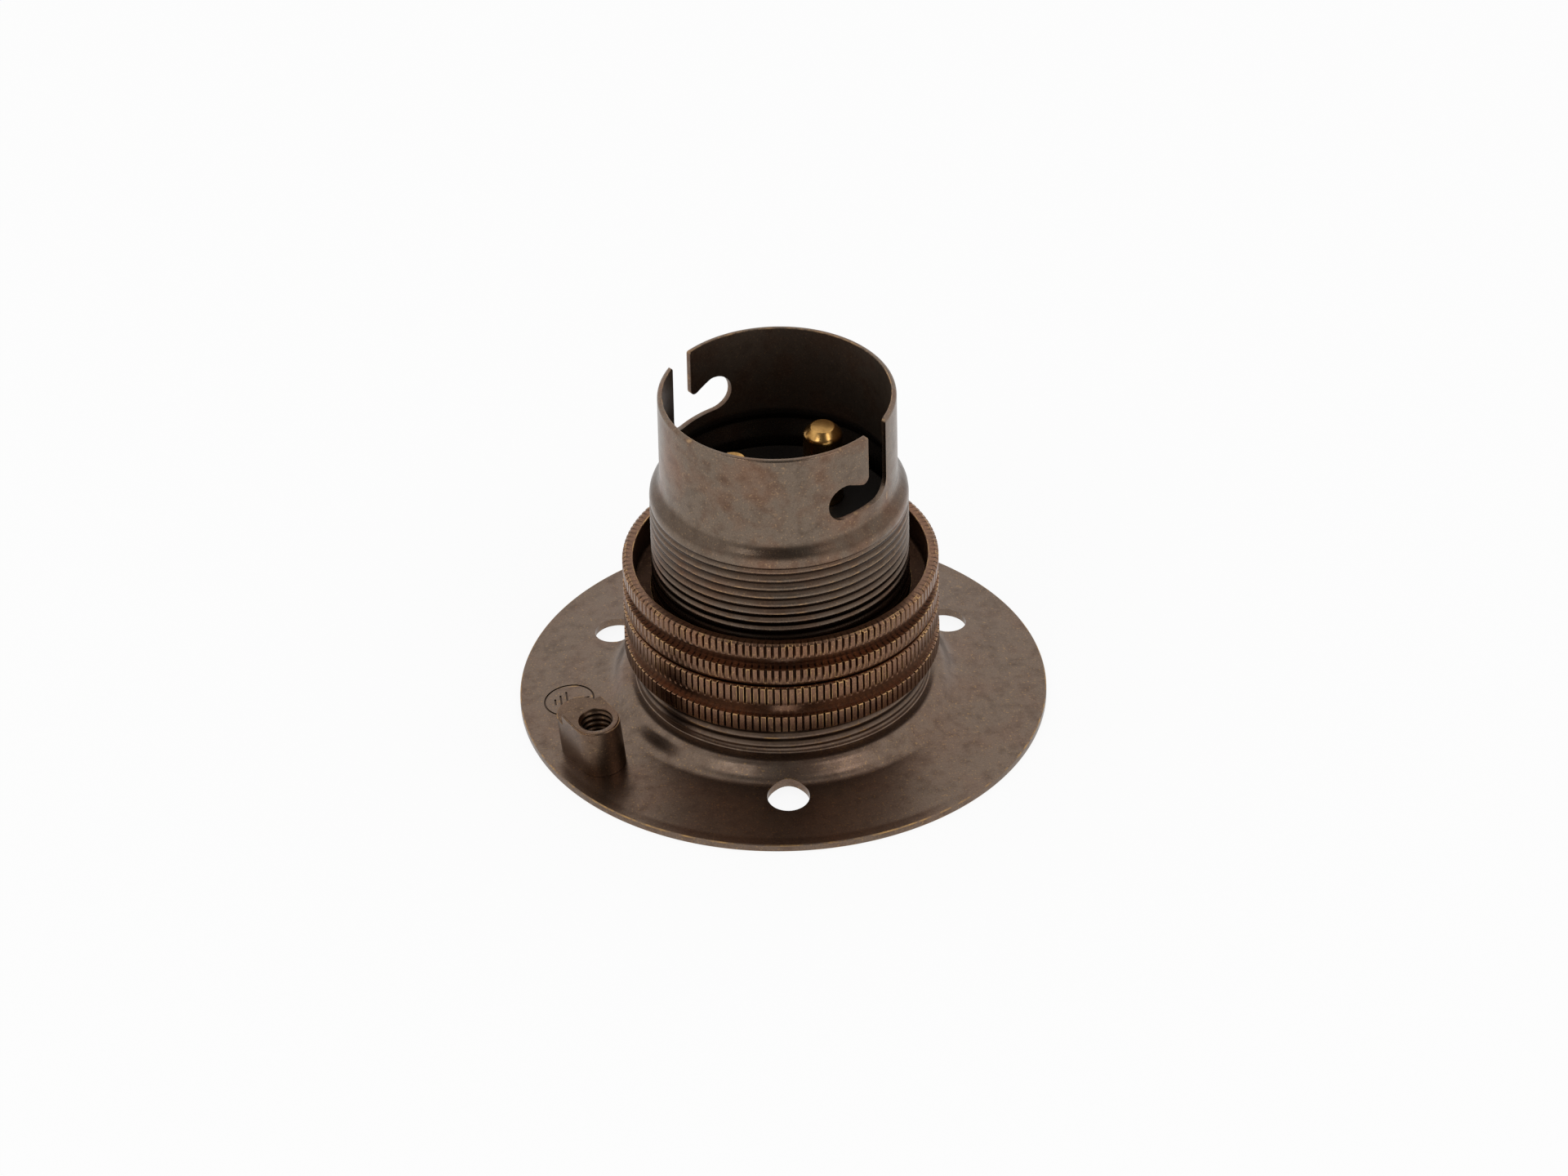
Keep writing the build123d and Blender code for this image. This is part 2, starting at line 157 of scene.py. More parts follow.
def prism(name, outline, low, high, place=Matrix()):
    """An upright prism on a flat outline between two heights, moved to its place."""
    solid = bmesh.new()
    floor_points = [solid.verts.new(place @ Vector((point.x, point.y, low))) for point in outline]
    roof_points = [solid.verts.new(place @ Vector((point.x, point.y, high))) for point in outline]
    solid.faces.new(floor_points)
    solid.faces.new(roof_points)
    for index in range(len(outline)):
        after = (index + 1) % len(outline)
        solid.faces.new((floor_points[index], floor_points[after], roof_points[after], roof_points[index]))
    return new_piece(name, solid)


def keep_result(piece):
    """Turns what the piece's modifiers make into its plain mesh."""
    evaluated = piece.evaluated_get(bpy.context.evaluated_depsgraph_get())
    mesh = bpy.data.meshes.new_from_object(evaluated)
    piece.modifiers.clear()
    piece.data = mesh


def cut(piece, *cutters):
    """Takes the shape of each cutter out of the piece."""
    for cutter in cutters:
        boolean = piece.modifiers.new("cut", "BOOLEAN")
        boolean.operation = "DIFFERENCE"
        boolean.solver = "EXACT"
        boolean.object = cutter
        keep_result(piece)
        bpy.data.objects.remove(cutter)


def soften(piece, width, chosen, sharpest=radians(50)):
    """Rounds the sharp edges that the test chooses by their middle point. Points much closer than
    the round is wide are merged first, because a bevel stops at them."""
    solid = bmesh.new()
    solid.from_mesh(piece.data)
    bmesh.ops.remove_doubles(solid, verts=solid.verts, dist=width / 12)
    edges = []
    for edge in solid.edges:
        middle = (edge.verts[0].co + edge.verts[1].co) / 2
        if edge.is_manifold and edge.calc_face_angle() > sharpest and chosen(middle):
            edges.append(edge)
    bmesh.ops.bevel(solid, geom=edges, offset=width, segments=3, affect="EDGES", clamp_overlap=True)
    solid.to_mesh(piece.data)
    solid.free()


def add_node(tree, kind, sockets, **settings):
    """Adds one node. Sockets holds values, or outputs of other nodes, by the input's name or number."""
    node = tree.nodes.new(kind)
    for setting, value in settings.items():
        setattr(node, setting, value)
    for key, value in sockets.items():
        if isinstance(value, bpy.types.NodeSocket):
            tree.links.new(value, node.inputs[key])
        else:
            node.inputs[key].default_value = value
    return node


def new_tree(name, sizes):
    """An empty Geometry Nodes tree with a named input for each size."""
    tree = bpy.data.node_groups.new(name, "GeometryNodeTree")
    tree.interface.new_socket(name="Geometry", in_out="INPUT", socket_type="NodeSocketGeometry")
    for size in sizes:
        tree.interface.new_socket(name=size, in_out="INPUT", socket_type="NodeSocketFloat")
    tree.interface.new_socket(name="Finish", in_out="INPUT", socket_type="NodeSocketMaterial")
    tree.interface.new_socket(name="Geometry", in_out="OUTPUT", socket_type="NodeSocketGeometry")
    return tree


def polar_nodes(tree):
    """Nodes for a point's height, distance from the z axis and share of a turn, with its x and y."""
    position = add_node(tree, "GeometryNodeInputPosition", {}).outputs[0]
    parts = add_node(tree, "ShaderNodeSeparateXYZ", {0: position}).outputs
    angle = add_node(tree, "ShaderNodeMath", {0: parts[1], 1: parts[0]}, operation="ARCTAN2").outputs[0]
    turns = add_node(tree, "ShaderNodeMath", {0: angle, 1: tau}, operation="DIVIDE").outputs[0]
    flat = add_node(tree, "ShaderNodeCombineXYZ", {0: parts[0], 1: parts[1]}).outputs[0]
    distance = add_node(tree, "ShaderNodeVectorMath", {0: flat}, operation="LENGTH").outputs["Value"]
    return parts, turns, distance


def cut_to(tree, source, groove, share, chosen, wall_depths=3.0):
    """Nodes that bring points in to a cutter's radius, store the groove's share as the groove's
    patina and painted shade, and set the finish. Points some groove depths further in than the wall belong
    to the bore, and stay."""
    parts, _, distance = polar_nodes(tree)
    wall = source.outputs["Radius"]
    depth = add_node(tree, "ShaderNodeMath", {0: source.outputs["Depth"], 1: groove}, operation="MULTIPLY")
    cutter = add_node(tree, "ShaderNodeMath", {0: wall, 1: depth.outputs[0]}, operation="SUBTRACT")
    nearer = add_node(
        tree, "ShaderNodeMath", {0: distance, 1: cutter.outputs[0]}, operation="MINIMUM"
    ).outputs[0]
    scale = add_node(tree, "ShaderNodeMath", {0: nearer, 1: distance}, operation="DIVIDE").outputs[0]
    x = add_node(tree, "ShaderNodeMath", {0: parts[0], 1: scale}, operation="MULTIPLY").outputs[0]
    y = add_node(tree, "ShaderNodeMath", {0: parts[1], 1: scale}, operation="MULTIPLY").outputs[0]
    place = add_node(tree, "ShaderNodeCombineXYZ", {0: x, 1: y, 2: parts[2]}).outputs[0]
    limit = add_node(
        tree, "ShaderNodeMath", {0: source.outputs["Depth"], 1: -wall_depths}, operation="MULTIPLY"
    )
    inmost = add_node(tree, "ShaderNodeMath", {0: wall, 1: limit.outputs[0]}, operation="ADD").outputs[0]
    outside = add_node(tree, "FunctionNodeCompare", {0: distance, 1: inmost}, operation="GREATER_THAN")
    chosen = add_node(tree, "FunctionNodeBooleanMath", {0: chosen, 1: outside.outputs[0]}, operation="AND")
    chosen = chosen.outputs[0]
    marked = add_node(
        tree,
        "GeometryNodeStoreNamedAttribute",
        {"Geometry": source.outputs["Geometry"], "Selection": chosen, "Name": "patina_and_shade", "Value": share},
    )
    moved = add_node(
        tree,
        "GeometryNodeSetPosition",
        {"Geometry": marked.outputs[0], "Selection": chosen, "Position": place},
    )
    real = add_node(tree, "GeometryNodeRealizeInstances", {0: moved.outputs[0]})
    dressed = add_node(
        tree, "GeometryNodeSetMaterial", {"Geometry": real.outputs[0], "Material": source.outputs["Finish"]}
    )
    add_node(tree, "NodeGroupOutput", {0: dressed.outputs[0]})


def between(tree, value, low, high):
    """Nodes that are true where a value lies between two others."""
    above = add_node(tree, "FunctionNodeCompare", {0: value, 1: low}, operation="GREATER_THAN").outputs[0]
    below = add_node(tree, "FunctionNodeCompare", {0: value, 1: high}, operation="LESS_THAN").outputs[0]
    return add_node(tree, "FunctionNodeBooleanMath", {0: above, 1: below}, operation="AND").outputs[0]


def thread_tree():
    """A right-hand rolled thread: a smooth spiral groove that runs out at both ends."""
    tree = new_tree("rolled_thread", ("Radius", "Depth", "Pitch", "Low end", "High end", "Run out", "Crest"))
    source = add_node(tree, "NodeGroupInput", {})
    parts, turns, _ = polar_nodes(tree)
    height = parts[2]
    laps = add_node(tree, "ShaderNodeMath", {0: height, 1: source.outputs["Pitch"]}, operation="DIVIDE")
    phase = add_node(tree, "ShaderNodeMath", {0: laps.outputs[0], 1: turns}, operation="SUBTRACT").outputs[0]
    angle = add_node(tree, "ShaderNodeMath", {0: phase, 1: tau}, operation="MULTIPLY").outputs[0]
    wave = add_node(tree, "ShaderNodeMath", {0: angle}, operation="COSINE").outputs[0]
    dip = add_node(tree, "ShaderNodeMath", {0: wave, 1: 0.5, 2: 0.5}, operation="MULTIPLY_ADD").outputs[0]
    crest = source.outputs["Crest"]
    groove = add_node(tree, "ShaderNodeMath", {0: dip, 1: crest}, operation="POWER").outputs[0]
    for end, sign in (("Low end", 1.0), ("High end", -1.0)):
        inner = add_node(
            tree,
            "ShaderNodeMath",
            {0: source.outputs["Run out"], 1: sign, 2: source.outputs[end]},
            operation="MULTIPLY_ADD",
        )
        ramp = add_node(
            tree,
            "ShaderNodeMapRange",
            {"Value": height, "From Min": source.outputs[end], "From Max": inner.outputs[0]},
            interpolation_type="SMOOTHSTEP",
        )
        ramped = add_node(tree, "ShaderNodeMath", {0: groove, 1: ramp.outputs[0]}, operation="MULTIPLY")
        groove = ramped.outputs[0]
    chosen = between(tree, height, source.outputs["Low end"], source.outputs["High end"])
    cut_to(tree, source, groove, groove, chosen)
    return tree


def work(piece, tree, sizes, finish):
    """Runs a Geometry Nodes tree over the piece with its sizes and finish, and keeps the mesh."""
    modifier = piece.modifiers.new(tree.name, "NODES")
    modifier.node_group = tree
    given = {**sizes, "Finish": finish}
    for socket in tree.interface.items_tree:
        if socket.in_out == "INPUT" and socket.name in given:
            modifier[socket.identifier] = given[socket.name]
    keep_result(piece)


def nowhere(point):
    """Chooses no point."""
    return False


def finish_edges(piece, spared=nowhere, crease=radians(35), worn_radius=0.2 * mm):
    """Smooths the shading between creases, and stores each face's wear: how tightly it is bent
    outwards. A face bent to the worn radius is worn bare."""
    solid = bmesh.new()
    solid.from_mesh(piece.data)
    layer = solid.faces.layers.float.new("wear")
    for face in solid.faces:
        bend = 0.0
        for edge in face.edges:
            if edge.is_manifold:
                bend += edge.calc_face_angle_signed() * edge.calc_length()
        if not spared(face.calc_center_median()):
            tightness = bend / (2 * max(face.calc_area(), 1e-12))
            face[layer] = max(0.0, min(1.0, worn_radius * tightness))
    solid.to_mesh(piece.data)
    solid.free()
    piece.data.shade_smooth()
    piece.data.set_sharp_from_angle(angle=crease)


def mark(piece, name, chosen, amount=1.0):
    """Stores an amount under a name at the points that the test chooses."""
    values = piece.data.attributes.get(name) or piece.data.attributes.new(name, "FLOAT", "POINT")
    for vertex in piece.data.vertices:
        if chosen(vertex.co):
            values.data[vertex.index].value = amount


def srgb(code):
    """A colour written as sRGB hex, as the linear values that a socket takes."""
    values = [int(code[index:index + 2], 16) / 255 for index in (1, 3, 5)]
    return (*[v / 12.92 if v <= 0.04045 else ((v + 0.055) / 1.055) ** 2.4 for v in values], 1.0)


def new_finish(name):
    """An empty material and its node tree."""
    finish = bpy.data.materials.new(name)
    finish.use_nodes = True
    finish.node_tree.nodes.clear()
    return finish, finish.node_tree


def bronzed_brass(name, coat, flush, deep_and_shade, rubbed, gloss):
    """Brass bronzed in a chemical bath and lacquered: a satin brown coat that is patchy where the
    bath took unevenly, darker in the grooves with patina and painted shade, darker as painted
    shade in the cup, on the barrel's shoulder and inside the barrel, and rubbed through to yellow
    brass on the edges. The grain, specks and lines of the real coat are too fine to show in the
    render, so they are drawn as coarse as they need to show, at 0.1 to 0.2 mm. Coat is the plain
    colour, flush that of the patches, the dark colour that of the darker clouds and grain and of
    the patina and painted shade, and rubbed the brass that shows through."""
    along_lathe = (0.06, 0.06, 1.0)
    patina_and_shade_darkness = 0.85
    wear_breaks = 3.0
    wear_start, wear_end, wear_most = 0.85, 1.35, 0.7
    gloss_below, gloss_above = 0.05, 0.07
    dull_roughness = 0.3
    grain_height = 0.02 * mm
    finish, tree = new_finish(name)
    place = add_node(tree, "ShaderNodeTexCoord", {}).outputs["Object"]
    lathe = add_node(tree, "ShaderNodeMapping", {"Vector": place, "Scale": along_lathe}).outputs[0]
    noises = {}
    for use, spacing, vector, detail in (
        ("patches", 6.0 * mm, place, 3.0),
        ("clouds", 1.5 * mm, place, 5.0),
        ("grain", 0.15 * mm, place, 2.0),
        ("specks", 0.2 * mm, place, 0.0),
        ("lines", 0.11 * mm, lathe, 2.0),
    ):
        noise = add_node(
            tree,
            "ShaderNodeTexNoise",
            {"Vector": vector, "Scale": 1 / spacing, "Detail": detail, "Roughness": 0.65},
        )
        noises[use] = noise.outputs[0]
    patina_and_shade = add_node(tree, "ShaderNodeAttribute", {}, attribute_name="patina_and_shade").outputs["Fac"]
    wear = add_node(tree, "ShaderNodeAttribute", {}, attribute_name="wear").outputs["Fac"]
    dull = add_node(tree, "ShaderNodeAttribute", {}, attribute_name="dull").outputs["Fac"]

    # Each tint's share grows from none to its most between two levels of its noise.
    colour = srgb(coat)
    for noise, low, high, most, tint in (
        ("patches", 0.46, 0.66, 0.75, flush),
        ("clouds", 0.46, 0.80, 0.55, deep_and_shade),
        ("grain", 0.46, 0.80, 0.40, deep_and_shade),
        ("specks", 0.66, 0.82, 0.35, rubbed),
    ):
        share = add_node(
            tree,
            "ShaderNodeMapRange",
            {"Value": noises[noise], "From Min": low, "From Max": high, "To Max": most},
        ).outputs[0]
        tinted = add_node(tree, "ShaderNodeMix", {0: share, 6: colour, 7: srgb(tint)}, data_type="RGBA")
        colour = tinted.outputs[2]
    # Painted shade, with the patina in grooves: the stored share darkens the grooves, the cup, the barrel's
    # shoulder and its inside toward the dark colour.
    patina_and_shade_share = add_node(
        tree, "ShaderNodeMath", {0: patina_and_shade, 1: patina_and_shade_darkness}, operation="MULTIPLY", use_clamp=True
    ).outputs[0]
    darkened = add_node(tree, "ShaderNodeMix", {0: patina_and_shade_share, 6: colour, 7: srgb(deep_and_shade)}, data_type="RGBA")
    colour = darkened.outputs[2]
    broken = add_node(tree, "ShaderNodeMath", {0: noises["clouds"], 1: 0.5}, operation="SUBTRACT").outputs[0]
    edge = add_node(tree, "ShaderNodeMath", {0: broken, 1: wear_breaks, 2: wear}, operation="MULTIPLY_ADD")
    bare = add_node(
        tree,
        "ShaderNodeMapRange",
        {"Value": edge.outputs[0], "From Min": wear_start, "From Max": wear_end, "To Max": wear_most},
    ).outputs[0]
    worn = add_node(tree, "ShaderNodeMix", {0: bare, 6: colour, 7: srgb(rubbed)}, data_type="RGBA")
    colour = worn.outputs[2]

    satin = add_node(
        tree,
        "ShaderNodeMapRange",
        {"Value": noises["clouds"], "To Min": gloss - gloss_below, "To Max": gloss + gloss_above},
    ).outputs[0]
    rough = add_node(
        tree, "ShaderNodeMath", {0: dull, 1: dull_roughness, 2: satin}, operation="MULTIPLY_ADD"
    ).outputs[0]
    marks = add_node(tree, "ShaderNodeMath", {0: noises["grain"], 1: noises["lines"]}, operation="ADD")
    bump = add_node(
        tree, "ShaderNodeBump", {"Strength": 0.25, "Distance": grain_height, "Height": marks.outputs[0]}
    ).outputs[0]
    shader = add_node(
        tree,
        "ShaderNodeBsdfPrincipled",
        {"Base Color": colour, "Metallic": 1.0, "Roughness": rough, "Normal": bump},
    )
    add_node(tree, "ShaderNodeOutputMaterial", {"Surface": shader.outputs[0]})
    return finish


plate_finish = bronzed_brass(
    "bronzed_sheet_brass", coat="#756457", flush="#786153", deep_and_shade="#33261D", rubbed="#B9925E", gloss=0.3
)
rolled_thread = thread_tree()
dish_end = plate_radius - plate_rim_flat


def dish_height(radius):
    """The height of the plate's upper skin on its dished part."""
    return plate_wall + (dish_end - radius) * plate_dish_slope


def plate_section(depth):
    """The plate's skin lines, upper for depth 0 and lower for the wall, as corners with radii.
    The lower one is drawn in by about half the wall, which keeps the sheet's thickness at bends."""
    inset = 0.48 * depth
    foot_height = dish_height(shoulder_foot_radius)
    return [
        (dish_end - inset, plate_wall - depth, plate_rim_bend),
        (shoulder_foot_radius - inset, foot_height - depth, shoulder_foot_bend + depth),
        (shoulder_top_radius - inset, shoulder_height - depth, shoulder_top_bend - depth),
        (collar_radius - depth, shoulder_height - depth, collar_root_bend + depth),
    ]


plate_outline = rounded(
    [(plate_radius, plate_wall, plate_edge_round)]
    + plate_section(0)
    + [(collar_radius, collar_top, collar_edge_round)]
    + [(collar_radius - plate_wall, collar_top, collar_edge_round)]
    + plate_section(plate_wall)[::-1]
    + [(plate_radius, 0.0, plate_edge_round)]
)
thread_low = shoulder_height + collar_plain_foot
thread_high = collar_top - collar_edge_round
last_row = collar_top - 0.15 * mm
plate_outline = with_rows(plate_outline, thread_low, last_row, thread_pitch / thread_rows)
plate = turned("plate", plate_outline, even_columns(round_columns))

hole_round = circle(fixing_hole_radius, 48)
for azimuth in fixing_azimuths:
    bearing = radians(azimuth)
    spot = Matrix.Translation((fixing_circle_radius * cos(bearing), fixing_circle_radius * sin(bearing), 0))
    cut(plate, prism("hole", hole_round, -plate_wall, shoulder_height, spot))


def near_hole(point):
    """Whether a point lies as far from the middle as the edges of the fixing holes do."""
    hole_reach = fixing_hole_radius + 0.8 * mm
    return abs(hypot(point.x, point.y) - fixing_circle_radius) < hole_reach


soften(plate, fixing_hole_round, near_hole)

# The earth mark is stamped in the plate beside its terminal: a ring with the usual sign of one
# stem and three bars, in fine grooves that the bronzing leaves dark.
mark_circle_radius = 22.45 * mm
mark_azimuth = radians(184.5)
mark_radius = 2.67 * mm
mark_line = 0.2 * mm
mark_depth = 0.1 * mm
mark_stem_top = mark_radius * 0.8
mark_bars = ((0.1 * mm, 1.5 * mm), (0.75 * mm, 1.0 * mm), (1.35 * mm, 0.5 * mm))


def plate_place(radius, bearing):
    """A frame on the dished plate with its z square to the sheet and its x along the circle."""
    outward = Vector((cos(bearing), sin(bearing), 0))
    z_axis = (outward * plate_dish_slope + Vector((0, 0, 1))).normalized()
    x_axis = Vector((-sin(bearing), cos(bearing), 0))
    y_axis = z_axis.cross(x_axis)
    origin = outward * radius + Vector((0, 0, dish_height(radius)))
    return Matrix.Translation(origin) @ Matrix((x_axis, y_axis, z_axis)).transposed().to_4x4()


def block(low_x, low_y, high_x, high_y):
    """A rectangle's corners."""
    corners = ((low_x, low_y), (high_x, low_y), (high_x, high_y), (low_x, high_y))
    return [Vector(corner) for corner in corners]


mark_place = plate_place(mark_circle_radius, mark_azimuth)
mark_ring_outline = [
    Vector((mark_radius - mark_line, -mark_depth)),
    Vector((mark_radius, -mark_depth)),
    Vector((mark_radius, plate_wall)),
    Vector((mark_radius - mark_line, plate_wall)),
]
mark_ring = turned("mark_ring", mark_ring_outline, even_columns(72))
mark_ring.data.transform(mark_place)
cut(plate, mark_ring)
mark_strokes = [block(-mark_line / 2, mark_bars[0][0], mark_line / 2, mark_stem_top)]
for offset, half_bar in mark_bars:
    mark_strokes.append(block(-half_bar, -offset - mark_line, half_bar, -offset))
for stroke in mark_strokes:
    cut(plate, prism("stroke", stroke, -mark_depth, plate_wall, mark_place))
mark_frame = mark_place.inverted()


def in_mark(point):
    """Whether a point lies on the floor of the mark's grooves."""
    spot = mark_frame @ point
    return hypot(spot.x, spot.y) < mark_radius + 0.1 * mm and spot.z < -0.5 * mark_depth


mark(plate, "patina_and_shade", in_mark)

thread_sizes = {"Depth": thread_depth, "Pitch": thread_pitch, "Run out": thread_run_out}
thread_sizes["Crest"] = thread_crest
collar_thread = {"Radius": collar_radius, "Low end": thread_low, "High end": thread_high}
work(plate, rolled_thread, {**thread_sizes, **collar_thread}, plate_finish)
finish_edges(plate)
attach(plate, "root")
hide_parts("backplate")

# Earth terminal: a short obround brass bar, milled down at its far end, tapped from above for
# its screw and riveted square to the dished plate.
terminal_circle_radius = 22.8 * mm
terminal_bearing = radians(210)
terminal_width = 4.9 * mm
terminal_length = 7.8 * mm
terminal_height = 5.7 * mm
terminal_edge_round = 0.16 * mm
terminal_foot = 0.5 * mm
terminal_step_depth = 1.2 * mm
terminal_step_width = 2.9 * mm
terminal_step_overhang = 0.7 * mm
terminal_hole_offset = 1.45 * mm
terminal_hole_radius = 1.78 * mm
terminal_hole_depth = 5.0 * mm
terminal_lead_in = 0.1 * mm
terminal_lead_in_width = 0.2 * mm
terminal_thread_pitch = 0.7 * mm
terminal_thread_depth = 0.22 * mm
terminal_thread_run_out = 0.2 * mm
terminal_thread_crest = 1.0
terminal_wire_radius = 1.1 * mm
terminal_wire_height = 2.0 * mm

terminal_place = plate_place(terminal_circle_radius, terminal_bearing)
half_length = terminal_length / 2
half_width = terminal_width / 2
end_round = half_width - 0.001 * mm
step_reach = half_length + terminal_step_overhang
terminal_outline = rounded([
    (-step_reach, -half_width, end_round),
    (half_length, -half_width, end_round),
    (half_length, half_width, end_round),
    (-step_reach, half_width, end_round),
])
terminal = prism("terminal", terminal_outline, 0.0, terminal_height)
step_end = -step_reach + terminal_step_width
step_outline = block(-terminal_length, -terminal_width, step_end, terminal_width)
cut(terminal, prism("step", step_outline, terminal_height - terminal_step_depth, terminal_height * 2))

tap_bottom = terminal_height - terminal_hole_depth
tap_outline = with_rows(
    rounded([
        (0.0, tap_bottom),
        (terminal_hole_radius, tap_bottom),
        (terminal_hole_radius, terminal_height - terminal_lead_in),
        (terminal_hole_radius + terminal_lead_in_width, terminal_height + terminal_lead_in),
        (0.0, terminal_height + terminal_lead_in),
    ]),
    tap_bottom,
    terminal_height - terminal_lead_in,
    terminal_thread_pitch / thread_rows,
)
tap = turned("tap", tap_outline, even_columns(72))
tap_sizes = {
    "Radius": terminal_hole_radius,
    "Depth": terminal_thread_depth,
    "Pitch": terminal_thread_pitch,
    "Low end": tap_bottom,
    "High end": terminal_height,
    "Run out": terminal_thread_run_out,
    "Crest": terminal_thread_crest,
}
work(tap, rolled_thread, tap_sizes, plate_finish)
tap.data.materials.clear()
tap.data.transform(Matrix.Translation((terminal_hole_offset, 0, 0)))
wire_round = circle(terminal_wire_radius, 40)
wire_turn = Matrix.Translation((0, 0, terminal_wire_height)) @ Matrix.Rotation(pi / 2, 4, "Y")
wire_way = prism("wire_way", wire_round, -terminal_length, terminal_hole_offset, wire_turn)


def on_terminal_rim(point):
    """Whether a point lies on the terminal's outer edges, above its foot."""
    return point.z > terminal_foot


def in_tapped_hole(point):
    """Whether a point lies on the wall of the tapped hole."""
    return hypot(point.x - terminal_hole_offset, point.y) < terminal_hole_radius + 0.05 * mm


def dress(piece, finish):
    """Gives the piece one finish in place of any that it has."""
    piece.data.materials.clear()
    piece.data.materials.append(finish)


soften(terminal, terminal_edge_round, on_terminal_rim)
cut(terminal, wire_way, tap)
finish_edges(terminal, in_tapped_hole)
terminal.data.transform(terminal_place)
terminal_finish = bronzed_brass(
    "bronzed_bar_brass", coat="#6B5748", flush="#7E6353", deep_and_shade="#2C1D12", rubbed="#B48E62", gloss=0.34
)
dress(terminal, terminal_finish)
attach(terminal, "root")
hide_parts("earth_terminal")

# Insulator: two black phenolic mouldings held together by a brass screw, with the terminal
# pillars between them. Only the cap shows, deep in the barrel, and the base from behind, so
# both keep the frame's own meshes.
def black_phenolic():
    """Compression-moulded phenolic: nearly black, with a dull sheen and a faint grain. Its wood
    flour is finer than the render can show, so the grain is drawn coarser, at 0.4 mm."""
    grain_width = 0.4 * mm
    grain_height = 0.02 * mm
    finish, tree = new_finish("black_phenolic")
    place = add_node(tree, "ShaderNodeTexCoord", {}).outputs["Object"]
    grain = add_node(
        tree, "ShaderNodeTexNoise", {"Vector": place, "Scale": 1 / grain_width, "Detail": 4.0}
    ).outputs[0]
    colour = add_node(
        tree, "ShaderNodeMix", {0: grain, 6: srgb("#0E0C0A"), 7: srgb("#181411")}, data_type="RGBA"
    ).outputs[2]
    dull = add_node(tree, "ShaderNodeMapRange", {"Value": grain, "To Min": 0.38, "To Max": 0.6}).outputs[0]
    bump = add_node(
        tree, "ShaderNodeBump", {"Strength": 0.2, "Distance": grain_height, "Height": grain}
    ).outputs[0]
    shader = add_node(
        tree, "ShaderNodeBsdfPrincipled", {"Base Color": colour, "Roughness": dull, "Normal": bump}
    )
    add_node(tree, "ShaderNodeOutputMaterial", {"Surface": shader.outputs[0]})
    return finish


phenolic = black_phenolic()
for node in ("insulator_base", "insulator_cap"):
    dress(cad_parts[node], phenolic)


# Contacts and screws: the pillars that guide the plungers and grip the wires, their clamping
# screws, the joining screw and the earth screw. All are turned from free-cutting brass rod,
# and keep the frame's own meshes.
def turned_metal(name, pale, shade, gloss):
    """Bright metal with fine lines round it, from the lathe or the drawing die, and a faint
    tarnish. The lines are drawn coarser than the real ones, so that they show."""
    tarnish_width = 0.9 * mm
    line_spacing = 0.08 * mm
    line_depth = 0.01 * mm
    gloss_below, gloss_above = 0.05, 0.12
    along_lathe = (0.1, 0.1, 1.0)
    finish, tree = new_finish(name)
    place = add_node(tree, "ShaderNodeTexCoord", {}).outputs["Object"]
    tarnish = add_node(
        tree, "ShaderNodeTexNoise", {"Vector": place, "Scale": 1 / tarnish_width, "Detail": 4.0}
    ).outputs[0]
    share = add_node(tree, "ShaderNodeMapRange", {"Value": tarnish, "From Min": 0.4, "From Max": 0.75})
    colour = add_node(
        tree, "ShaderNodeMix", {0: share.outputs[0], 6: srgb(pale), 7: srgb(shade)}, data_type="RGBA"
    ).outputs[2]
    satin = add_node(
        tree,
        "ShaderNodeMapRange",
        {"Value": tarnish, "To Min": gloss - gloss_below, "To Max": gloss + gloss_above},
    ).outputs[0]
    lathe = add_node(tree, "ShaderNodeMapping", {"Vector": place, "Scale": along_lathe}).outputs[0]
    lines = add_node(tree, "ShaderNodeTexNoise", {"Vector": lathe, "Scale": 1 / line_spacing}).outputs[0]
    bump = add_node(
        tree, "ShaderNodeBump", {"Strength": 0.25, "Distance": line_depth, "Height": lines}
    ).outputs[0]
    shader = add_node(
        tree,
        "ShaderNodeBsdfPrincipled",
        {"Base Color": colour, "Metallic": 1.0, "Roughness": satin, "Normal": bump},
    )
    add_node(tree, "ShaderNodeOutputMaterial", {"Surface": shader.outputs[0]})
    return finish


bright_brass = turned_metal("turned_brass", pale="#C79A5B", shade="#8A6432", gloss=0.2)
bright_nodes = ["earth_screw", "joining_screw"]
for side in ("left", "right"):
    bright_nodes += ["terminal_pillar_" + side, "terminal_screw_" + side]
for node in bright_nodes:
    dress(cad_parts[node], bright_brass)

# Plungers: two brass pins with a flat tip and a rounded shoulder, each pushed up by its spring
# until the flange under the cap stops it.
plunger_radius = 2.05 * mm
plunger_flat_radius = 1.25 * mm
plunger_tip_drop = 0.8 * mm
plunger_tip_round = 0.8 * mm
plunger_end_round = 0.2 * mm
plunger_flange_round = 0.1 * mm
plunger_flange_thickness = 1.0 * mm
plunger_spigot_radius = 1.25 * mm
plunger_spigot_length = 1.0 * mm
for side in ("left", "right"):
    low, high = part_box("plunger_" + side)
    flange_radius = (high[0] - low[0]) / 2
    flange_bottom = low[2] + plunger_spigot_length
    flange_top = flange_bottom + plunger_flange_thickness
    pin_outline = rounded([
        (0.0, low[2]),
        (plunger_spigot_radius, low[2], plunger_end_round),
        (plunger_spigot_radius, flange_bottom),
        (flange_radius, flange_bottom, plunger_flange_round),
        (flange_radius, flange_top, plunger_flange_round),
        (plunger_radius, flange_top),
        (plunger_radius, high[2] - plunger_tip_drop, plunger_tip_round),
        (plunger_flat_radius, high[2], plunger_end_round),
        (0.0, high[2]),
    ])
    plunger = turned("pin_" + side, pin_outline, even_columns(64))
    plunger.data.transform(Matrix.Translation(((low[0] + high[0]) / 2, (low[1] + high[1]) / 2, 0)))
    dress(plunger, bright_brass)
    finish_edges(plunger)
    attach(plunger, "plunger_" + side)
    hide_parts("plunger_" + side)
